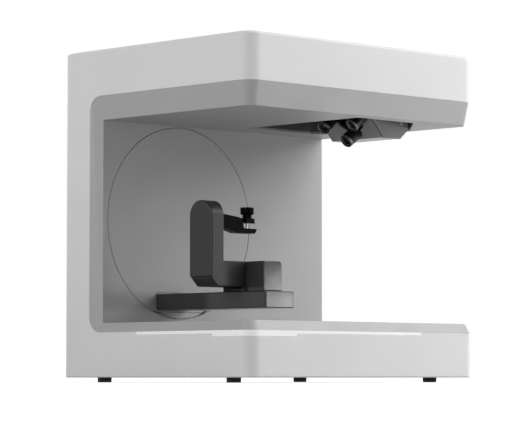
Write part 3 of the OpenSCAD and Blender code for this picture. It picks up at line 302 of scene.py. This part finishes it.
# %% The finishes by slot
finishes = {
    "casing": finish("casing_plastic", grey(0.77), grey(0.8), (0.42, 0.5), depth=0.08, sheen=0.2),
    "liner": finish("liner_plastic", grey(0.385), grey(0.405), (0.42, 0.5), depth=0.08),
    # The well's near-black tone is painted shade for the deep recess round the pod.
    "well": finish("well_painted_shade", grey(0.08), grey(0.09), (0.5, 0.6), depth=0.12, sheen=0.3),
    "dark_sheet": finish("dark_powder_paint", grey(0.02), grey(0.028), (0.5, 0.62), size=900.0,
                         depth=0.35),
    "cast_frame": finish("cast_aluminium", grey(0.38), grey(0.46), (0.45, 0.6), size=500.0,
                         depth=0.5, metal=1.0, patch=30.0),
    "bare_sheet": finish("folded_aluminium", grey(0.5), grey(0.58), (0.3, 0.42), relief=turned,
                         depth=0.15, metal=1.0),
    "bare_aluminium": finish("turned_aluminium", grey(0.55), grey(0.62), (0.25, 0.35),
                             relief=turned, depth=0.2, metal=1.0, patch=60.0),
    "circuit_board": finish("solder_mask", (0.004, 0.06, 0.02), (0.006, 0.09, 0.035),
                            (0.25, 0.35), size=400.0, depth=0.2, coat=0.4, patch=90.0),
    "foot_rubber": finish("foot_rubber", grey(0.012), grey(0.018), (0.65, 0.8), size=1200.0,
                          depth=0.3, patch=80.0),
    "belt_rubber": finish("belt_rubber", grey(0.01), grey(0.016), (0.6, 0.75), size=1200.0,
                          depth=0.3, patch=80.0),
    "steel": finish("bright_steel", grey(0.55), grey(0.62), (0.18, 0.28), relief=turned,
                    depth=0.12, metal=1.0, patch=80.0),
    "dark_steel": finish("blackened_steel", grey(0.05), grey(0.07), (0.3, 0.42), relief=turned,
                         depth=0.12, metal=1.0, patch=80.0),
    "black_plastic": finish("black_plastic", grey(0.01), grey(0.014), (0.4, 0.5), depth=0.12,
                            sheen=0.3, patch=60.0),
    "motor": finish("motor_paint", grey(0.014), grey(0.02), (0.35, 0.45), size=800.0, depth=0.2,
                    sheen=0.3, patch=50.0),
    "arm_black": finish("satin_black_paint", grey(0.034), grey(0.04), (0.12, 0.16), size=1100.0,
                        depth=0.05, sheen=0.27, patch=25.0),
    "clamp_black": finish("black_oxide", grey(0.002), grey(0.004), (0.25, 0.32), size=1400.0,
                          depth=0.15, sheen=0.02, patch=90.0),
    "pod_grey": finish("pod_lacquer", grey(0.4, 0.01), grey(0.43, 0.01), (0.3, 0.38),
                       size=1100.0, depth=0.1, sheen=0.2, patch=40.0),
    "barrel_black": finish("anodised_black", grey(0.006), grey(0.01), (0.38, 0.48), relief=turned,
                           depth=0.15, sheen=0.3, patch=90.0),
    "bezel_grey": finish("turned_bezel", grey(0.25), grey(0.32), (0.25, 0.35), relief=turned,
                         depth=0.15, metal=1.0, patch=90.0),
}
print("finishes:", len(finishes))

# %% [markdown]
# ## Three finishes of their own
# The status light is a frosted guide with lamps behind it: a white plastic that glows faintly.
# The lenses are dark coated glass. Glass keeps a plain Metallic and Transmission Weight, and the
# coating is a tint in its colour that drifts a little. The bracket has a duller paint than the
# rest of the arm, so its foot does not mirror the dark block beside it.

# %% Light guide, lens glass and bracket paint
guide = finish("frosted_guide", grey(0.8), grey(0.83), (0.45, 0.55), depth=0.05, patch=40.0)
guide_shader = guide.node_tree.nodes["Principled BSDF"]
guide_shader.inputs["Emission Color"].default_value = (1, 1, 1, 1)
guide_shader.inputs["Emission Strength"].default_value = 0.16
finishes["light"] = guide

glass = finish("coated_glass", (0.35, 0.42, 0.5), (0.42, 0.45, 0.62), (0.02, 0.05), depth=0.0,
               coat=1.0, patch=200.0)
glass_shader = glass.node_tree.nodes["Principled BSDF"]
glass_shader.inputs["Transmission Weight"].default_value = 0.9
glass_shader.inputs["IOR"].default_value = 1.6
finishes["lens_glass"] = glass
bracket_paint = finish("dull_black_paint", grey(0.022), grey(0.027), (0.34, 0.4), size=1100.0,
                       depth=0.05, sheen=0.22, patch=25.0)
print("finishes:", len(finishes))

# %% Every solid takes the finish of its slot first
slot_of = {part["node"]: part["material_slot"] for part in frame["record"]["subparts"]}
for name, solid in solids.items():
    solid.data.materials.clear()
    solid.data.materials.append(finishes[slot_of[name]])
print("solids with a finish:", len(slot_of))

# %% [markdown]
# ## Modelling helpers
# An operator acts on all that is selected, so everything is let go first. Parts of a mesh are
# picked in code by their place. A finished piece sits at the origin with its place
# in its mesh, and its faces point outwards.

# %% Selection and edit mode
SHARP = math.radians(30)  # a steeper edge is rounded
SMOOTH = math.radians(35)  # a flatter edge is shaded smooth
FLAT = math.radians(0.4)  # triangles that lean less than this are one face


def let_go():
    """Leaves edit mode and deselects everything."""
    if bpy.context.mode != "OBJECT":
        bpy.ops.object.mode_set(mode="OBJECT")
    bpy.ops.object.select_all(action="DESELECT")


def take(*pieces):
    """Selects these pieces, the first one active."""
    let_go()
    for piece in pieces:
        piece.select_set(True)
    bpy.context.view_layer.objects.active = pieces[0]


def open_mesh(piece):
    """Goes into edit mode on a piece, with all of it selected."""
    take(piece)
    bpy.ops.object.mode_set(mode="EDIT")
    bpy.ops.mesh.select_mode(type="VERT")
    bpy.ops.mesh.select_all(action="SELECT")


def pick(piece, test):
    """Selects only the vertices that pass a test."""
    bpy.ops.mesh.select_all(action="DESELECT")
    chosen = [vertex for vertex in bmesh.from_edit_mesh(piece.data).verts if test(vertex)]
    for vertex in chosen:
        vertex.select_set(True)
    bmesh.update_edit_mesh(piece.data)
    return len(chosen)


def settle(piece):
    """Merges doubles, turns faces outwards, applies the place and smooths by angle."""
    open_mesh(piece)
    bpy.ops.mesh.remove_doubles(threshold=1e-6)
    bpy.ops.mesh.normals_make_consistent(inside=False)
    take(piece)
    bpy.ops.object.transform_apply(location=True, rotation=True, scale=True)
    bpy.ops.object.shade_smooth_by_angle(angle=SMOOTH)
    return piece


def copy_of(node, name):
    """A copy of a solid with its doubles merged and its flat areas dissolved, in edit mode."""
    piece = bpy.data.objects.new(name, solids[node].data.copy())
    bpy.context.scene.collection.objects.link(piece)
    open_mesh(piece)
    bpy.ops.mesh.remove_doubles(threshold=2e-6)
    bpy.ops.mesh.dissolve_limited(angle_limit=FLAT)
    return piece


def round_edges(piece, width, segments=2):
    """Bevels every sharp edge, and applies it."""
    take(piece)
    bevel = piece.modifiers.new("edges", "BEVEL")
    bevel.width = width
    bevel.segments = segments
    bevel.limit_method = "ANGLE"
    bevel.angle_limit = SHARP
    bevel.use_clamp_overlap = False
    bpy.ops.object.modifier_apply(modifier="edges")


def belongs(piece, body, slot, *nodes):
    """The piece rides on a body, takes a slot's finish and stands for its nodes."""
    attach(piece, body)
    if not piece.data.materials:
        piece.data.materials.append(finishes[slot])
    if nodes:
        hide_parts(*nodes)
    print(piece.name, "faces:", len(piece.data.polygons))


# %% [markdown]
# ## Soft edges for the measured solids
# Real mouldings and machined parts never have perfectly sharp edges: a narrow rounding catches
# a line of light. The solids come as loose triangles, so a copy is merged, its flat areas are
# dissolved into whole faces, and a Bevel modifier rounds what is left sharp. A Weighted Normal
# modifier then lets the largest face at each corner set the shading, so wide walls stay flat.

# %% Softened copies
def soften(name, node, width, body, segments=2):
    """A copy of a solid with merged faces and rounded edges, which stands for that solid."""
    piece = copy_of(node, name)
    round_edges(piece, width * MM, segments)
    bpy.ops.object.shade_smooth_by_angle(angle=SMOOTH)
    flat = piece.modifiers.new("flat", "WEIGHTED_NORMAL")
    flat.mode = "FACE_AREA"
    flat.weight = 100
    flat.keep_sharp = True
    bpy.ops.object.modifier_apply(modifier="flat")
    belongs(piece, body, slot_of[node], node)


# piece: (solid it stands for, rounding in millimetres)
cabinet_parts = {
    "casing_shell": ("outer_casing", 0.4), "bay_shell": ("bay_liner", 0.5),
    "rear_panel": ("rear_cover", 0.4), "floor_sheet": ("base_plate", 0.3),
    "light_guide": ("light_bar", 0.15), "well_tub": ("head_well", 0.3),
    "pod_shell": ("pod_housing", 0.5), "pod_face": ("pod_plate", 0.3),
    "inlet_body": ("power_inlet", 0.25), "socket_shell": ("data_socket", 0.15),
    "switch_frame": ("switch_bezel", 0.3), "cover_bolts": ("cover_screws", 0.15),
    "foot_bolts": ("foot_screws", 0.15), "supply_box": ("power_supply", 0.3),
    "frame_rails": ("base_frame", 0.3), "head_rail": ("head_beam", 0.3),
    "column_wall": ("column_plate", 0.3), "roll_drive": ("roll_motor", 0.4),
}
for name, (node, width) in cabinet_parts.items():
    soften(name, node, width, "cabinet")
arm_parts = {
    "disc_face": ("disc", 0.5), "disc_flange": ("arm_flange", 0.4),
    "arm_beam": ("swing_beam", 1.0), "arm_block": ("drive_block", 1.0),
    "arm_spacer": ("block_spacer", 0.4), "bracket_shell": ("spindle_bracket", 0.9),
    "bracket_lid": ("bracket_cover", 0.9), "beam_lid": ("beam_cover", 0.3),
    "collar_ring": ("spindle_bearing", 0.3), "spin_drive": ("spin_motor", 0.4),
}
for name, (node, width) in arm_parts.items():
    soften(name, node, width, "roll_arm", segments=3)
for name in ("bracket_shell", "bracket_lid"):
    bpy.data.objects[name].data.materials[0] = bracket_paint
soften("spindle_nose", "spindle", 0.25, "clamp")
soften("clamp_crank", "clamp_arm", 0.5, "clamp", segments=3)
soften("jaw_plate", "upper_jaw", 0.3, "jaw")
soften("switch_key", "power_rocker", 0.3, "rocker")

# %% [markdown]
# ## The spacer under the bracket
# Light shows through the gap between the beam and the bracket, so the spacer in that gap ends a
# little way out from the block.

# %% A shorter spacer
SPACER_SHOWN = 4 * MM
open_mesh(bpy.data.objects["arm_spacer"])
spacer_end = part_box("drive_block")[0].x - SPACER_SHOWN
bpy.ops.mesh.bisect(plane_co=(spacer_end, 0, 0), plane_no=(1, 0, 0), use_fill=True,
                    clear_inner=True)
let_go()
print("spacer ends at:", round(spacer_end / MM, 1), "mm")

# %% [markdown]
# ## Round parts, turned ring by ring
# Barrels, lenses, screws and feet are turned parts. Each starts as one circle, which is extruded
# along its axis and scaled at every step of its outline, as a lathe tool would follow it. The
# piece is made upright at the origin, then laid along its own axis.

# %% Turning helper
def turn(name, outline, segments, hollow=False):
    """A turned piece about Z from its outline, a list of (radius, height) in millimetres.

    A solid one is closed by a disc at both ends. A hollow one is a ring whose outline comes
    back to its first point.
    """
    let_go()
    radius, height = outline[0]
    bpy.ops.mesh.primitive_circle_add(
        vertices=segments,
        radius=radius * MM,
        location=(0, 0, height * MM),
        fill_type="NOTHING" if hollow else "NGON",
    )
    piece = bpy.context.object
    piece.name = name
    bpy.ops.object.transform_apply(location=True, rotation=False, scale=False)
    open_mesh(piece)
    for new_radius, new_height in outline[1:] + (outline[:1] if hollow else []):
        lift = (0, 0, (new_height - height) * MM)
        bpy.ops.mesh.extrude_region_move(TRANSFORM_OT_translate={"value": lift})
        scale = new_radius / radius
        bpy.ops.transform.resize(value=(scale, scale, 1), center_override=(0, 0, 0))
        radius, height = new_radius, new_height
    let_go()
    return piece


def lay(piece, place, direction):
    """Lays a piece that was made along Z at a place, along a direction, and settles it."""
    turned_to = Vector(direction).to_track_quat("Z", "Y").to_matrix().to_4x4()
    piece.matrix_world = Matrix.Translation(place) @ turned_to
    return settle(piece)


def middle_of(node):
    """The middle of a solid's box."""
    low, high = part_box(node)
    return (Vector(low) + Vector(high)) / 2


def again(piece, name, shift):
    """A copy of a settled piece with its own mesh, moved by a shift."""
    copy = piece.copy()
    copy.data = piece.data.copy()
    copy.name = name
    bpy.context.scene.collection.objects.link(copy)
    copy.location = shift
    take(copy)
    bpy.ops.object.transform_apply(location=True, rotation=False, scale=False)
    return copy


def unite(name, *parts):
    """Joins parts into the first one."""
    take(*parts)
    bpy.ops.object.join()
    whole = bpy.context.object
    whole.name = name
    return whole


# %% [markdown]
# ## The lens barrels
# Two cameras flank a projector, and all three look at one point in the bay. The middles of a lens
# and of its barrel lie on the line of sight, so their boxes give its direction. A real barrel is
# black anodised, with a grip of fine grooves, a stop ring in its mouth and a coated front lens.
# The two thin bright rings are the bare edges of its retaining ring.

# %% Barrels, rings and lenses
HALF_BARREL = 12 * MM
BARREL_SIDES = 64
barrel_parts = {
    "rear": ("rear_camera_barrel", "rear_camera_lens"),
    "front": ("front_camera_barrel", "front_camera_lens"),
    "projector": ("projector_barrel", "projector_lens"),
}
groove = ((7.4, 0), (7.1, 0.15), (7.1, 0.55), (7.4, 0.7))
grooves = [(radius, start + step) for start in (8.6, 10.0, 11.4, 12.8) for radius, step in groove]
barrel_outline = [
    (2.0, 7.0), (2.6, 6.4), (4.5, 5.6), (4.5, 2.8), (4.75, 2.5), (4.75, 0.6), (5.0, 0.0),
    (7.1, 0.0), (7.4, 0.35), (7.4, 4.2), (7.0, 4.4), (7.0, 5.2), (7.4, 5.4),
] + grooves + [(7.4, 21.6), (6.6, 22.0), (6.6, 23.6), (6.3, 24.0)]
lens_outline = [(4.4, 4.9), (4.55, 4.75), (4.55, 3.3), (4.2, 3.12), (3.4, 2.98), (2.3, 2.88),
                (1.1, 2.82)]
ring_outlines = {
    "_outer_ring": [(6.8, 0.0), (6.8, -0.55), (6.95, -0.75), (7.25, -0.75), (7.4, -0.5),
                    (7.4, 0.0)],
    "_inner_ring": [(4.75, 0.4), (4.65, 0.1), (4.75, -0.2), (5.15, -0.2), (5.3, 0.0)],
}
rings_made = []
for side, (tube, lens) in barrel_parts.items():
    back = middle_of(tube) - middle_of(lens)
    back.normalize()
    front = middle_of(tube) - back * HALF_BARREL
    barrel = lay(turn(side + "_barrel", barrel_outline, BARREL_SIDES), front, back)
    belongs(barrel, "cabinet", slot_of[tube], tube)
    glass_piece = lay(turn(side + "_glass", lens_outline, segments=48), front, back)
    belongs(glass_piece, "cabinet", slot_of[lens], lens)
    for ending, outline in ring_outlines.items():
        ring = turn(side + ending, outline, BARREL_SIDES, hollow=True)
        rings_made.append(lay(ring, front, back))
rings = unite("lens_rings", *rings_made)
belongs(rings, "cabinet", slot_of["lens_bezels"], "lens_bezels")

# %% [markdown]
# ## The clamp's screw and knob
# The upper jaw is pressed down by a knob on a fixed threaded stud. The stud is turned with a
# fine groove at every half millimetre and a small chamfer on top. The knob has a waist, a thin
# lip and a head with eight scallops, which are pressed into a turned blank.

# %% The threaded stud
stud_low, stud_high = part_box("clamp_stud")
stud_z = [level / MM for level in (stud_low.z, stud_high.z)]
stud_place = middle_of("clamp_stud")
stud_place.z = 0
stud_r, root_r, pitch = 1.25, 1.06, 0.5
thread = [(1.0, stud_z[0]), (stud_r, stud_z[0] + 0.25)]
level = stud_z[0] + pitch
while level < stud_z[1] - 0.6:
    thread += [(stud_r, level), (root_r, level + 0.17), (root_r, level + 0.25),
               (stud_r, level + 0.42)]
    level += pitch
thread += [(stud_r, stud_z[1] - 0.3), (0.95, stud_z[1])]
stud = lay(turn("stud", thread, segments=24), stud_place, (0, 0, 1))
belongs(stud, "clamp", slot_of["clamp_stud"], "clamp_stud")

# %% The knob
knob_low, knob_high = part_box("clamp_knob")
foot_z, top_z = knob_low.z / MM, knob_high.z / MM
knob_outline = [
    (1.6, foot_z), (4.3, foot_z), (4.9, foot_z + 0.3), (4.9, foot_z + 1.0), (4.2, foot_z + 1.3),
    (4.2, foot_z + 1.7), (5.0, foot_z + 2.0), (5.0, foot_z + 2.8), (4.3, foot_z + 3.1),
    (4.3, foot_z + 3.5), (6.2, foot_z + 4.0), (6.75, foot_z + 4.4),
    (6.8, foot_z + 5.0), (6.8, foot_z + 8.6), (6.8, foot_z + 10.5), (6.5, foot_z + 11.1),
    (5.8, top_z - 0.25), (5.2, top_z), (3.4, top_z), (3.0, top_z - 0.5), (1.6, top_z - 0.5),
]
SCALLOPS, RIM, PRESS = 8, 5.9 * MM, 0.88


def in_scallop(vertex):
    """True for a vertex of the head's rim that lies in a scallop."""
    angle = math.atan2(vertex.co.y, vertex.co.x)
    return vertex.co.xy.length > RIM and math.cos(SCALLOPS * angle) < -0.55


knob = turn("knob", knob_outline, segments=96, hollow=True)
open_mesh(knob)
grip = pick(knob, in_scallop)
bpy.ops.transform.resize(value=(PRESS, PRESS, 1), center_override=(0, 0, 0))
print("grip points pressed in:", grip)
knob = lay(knob, Vector((stud_place.x, stud_place.y, 0)), (0, 0, 1))
belongs(knob, "knob", slot_of["clamp_knob"], "clamp_knob")

# %% [markdown]
# ## Feet
# Four rubber feet are turned with a rounded rim, two thin grooves and a recess for the screw.

# %% One foot, then its copies
feet_low, feet_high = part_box("feet")
foot_r = 7.2
foot_top = feet_high.z / MM
foot_outline = [
    (2.0, foot_top), (2.0, 2.2), (4.0, 2.2), (4.0, 0.25), (4.25, 0.0), (6.2, 0.0), (6.6, 0.15),
    (7.0, 0.6), (foot_r, 1.1), (foot_r, 2.2), (7.0, 2.35), (7.0, 2.65), (foot_r, 2.8),
    (foot_r, foot_top),
]
first = Vector((feet_low.x + foot_r * MM, feet_low.y + foot_r * MM, 0))
last = Vector((feet_high.x - foot_r * MM, feet_high.y - foot_r * MM, 0))
foot = lay(turn("foot", foot_outline, segments=64, hollow=True), first, (0, 0, 1))
across, along = last.x - first.x, last.y - first.y
others = [again(foot, "foot_" + str(x) + str(y), (across * x, along * y, 0))
          for x, y in ((0, 1), (1, 0), (1, 1))]
belongs(unite("rubber_feet", foot, *others), "cabinet", slot_of["feet"], "feet")

# %% [markdown]
# ## Painted shade behind the disc
# The disc turns in a round opening of the back wall. Behind the narrow gap sits a black ring
# that paints the gap's shade, so the gap reads as one dark line.

# %% Black ring of painted shade
disc_low, disc_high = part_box("disc")
disc_r = (disc_high.x - disc_low.x) / 2 / MM
disc_back = disc_high.y / MM
axis = middle_of("disc")
# The black ring is painted shade: it stands for the shade in the gap round the disc.
gap_shade_in, gap_shade_out, gap_shade_thick = disc_r - 2.0, disc_r + 2.5, 0.8
gap_shade_outline = [(gap_shade_in, 0.0), (gap_shade_out, 0.0), (gap_shade_out, gap_shade_thick), (gap_shade_in, gap_shade_thick)]
gap_shade = turn("gap_shade_ring", gap_shade_outline, segments=128, hollow=True)
gap_shade_y = (disc_back + 0.4) * MM
gap_shade = lay(gap_shade, Vector((axis.x, gap_shade_y, axis.z)), (0, 1, 0))
belongs(gap_shade, "cabinet", "belt_rubber")

# %% [markdown]
# ## Metal contacts in the inlet
# The appliance inlet is one black moulding in the solids. Real ones have three bright metal
# blades, so each moulded blade gets a rounded metal sleeve.

# %% Inlet contacts
blade_pitch, blade_depth = 6 * MM, 9.6 * MM
blade_size = (2.12 * MM, 12.1 * MM, 4.12 * MM)
inlet_mid = middle_of("power_inlet")
blade_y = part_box("power_inlet")[1].y - blade_depth
let_go()
first_place = (inlet_mid.x - blade_pitch, blade_y, inlet_mid.z)
bpy.ops.mesh.primitive_cube_add(size=1, location=first_place)
blade = bpy.context.object
blade.name = "blade"
blade.scale = blade_size
bpy.ops.object.transform_apply(location=True, rotation=False, scale=True)
round_edges(blade, 0.35 * MM, 3)
settle(blade)
blades = [again(blade, "blade_" + str(step), (step * blade_pitch, 0, 0)) for step in (1, 2)]
belongs(unite("inlet_contacts", blade, *blades), "cabinet", "steel")

# %% [markdown]
# ## Seam and latch of the pod
# The pod's front cover meets its shell in a thin seam in shade. A slice of the pod's own outline,
# cut with two planes and made a little larger, lies in that seam in black as painted shade. A
# small rounded latch tab holds the cover near its outer top corner.

# %% Painted shade in the seam
front_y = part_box("pod_housing")[0].y
SEAM_BACK, SEAM_FRONT = 1.35 * MM, 0.45 * MM
SWELL = 1.012
seam_shade_parts = []
for node in ("pod_housing", "pod_plate"):
    slice_of = copy_of(node, "slice_" + node)
    for depth, outer, inner in ((SEAM_BACK, True, False), (SEAM_FRONT, False, True)):
        bpy.ops.mesh.select_all(action="SELECT")
        bpy.ops.mesh.bisect(plane_co=(0, front_y + depth, 0), plane_no=(0, 1, 0), use_fill=True,
                            clear_outer=outer, clear_inner=inner)
    seam_shade_parts.append(slice_of)
# The black slice is painted shade for the dark gap between cover and shell.
seam_shade = unite("pod_seam_shade", *seam_shade_parts)
seam_shade.data.materials.clear()
core = middle_of("pod_housing")
open_mesh(seam_shade)
bpy.ops.transform.resize(value=(SWELL, 1, SWELL), center_override=core)
settle(seam_shade)
belongs(seam_shade, "cabinet", "foot_rubber")

# %% Latch tab
TAB_PLACE = Vector((126.1 * MM, front_y, 274.4 * MM))
TAB_DRAWN = 2.4 * MM
tab_outline = [(1.5, 1.2), (1.5, 0.0), (1.3, -0.55), (0.8, -0.85), (0.2, -0.9)]
tab = turn("latch_tab", tab_outline, segments=32)
open_mesh(tab)
lower_half = pick(tab, lambda vertex: vertex.co.y < 0)
bpy.ops.transform.translate(value=(0, -TAB_DRAWN, 0))
print("latch tab points drawn down:", lower_half)
tab = lay(tab, TAB_PLACE, (0, 1, 0))
belongs(tab, "cabinet", "casing")
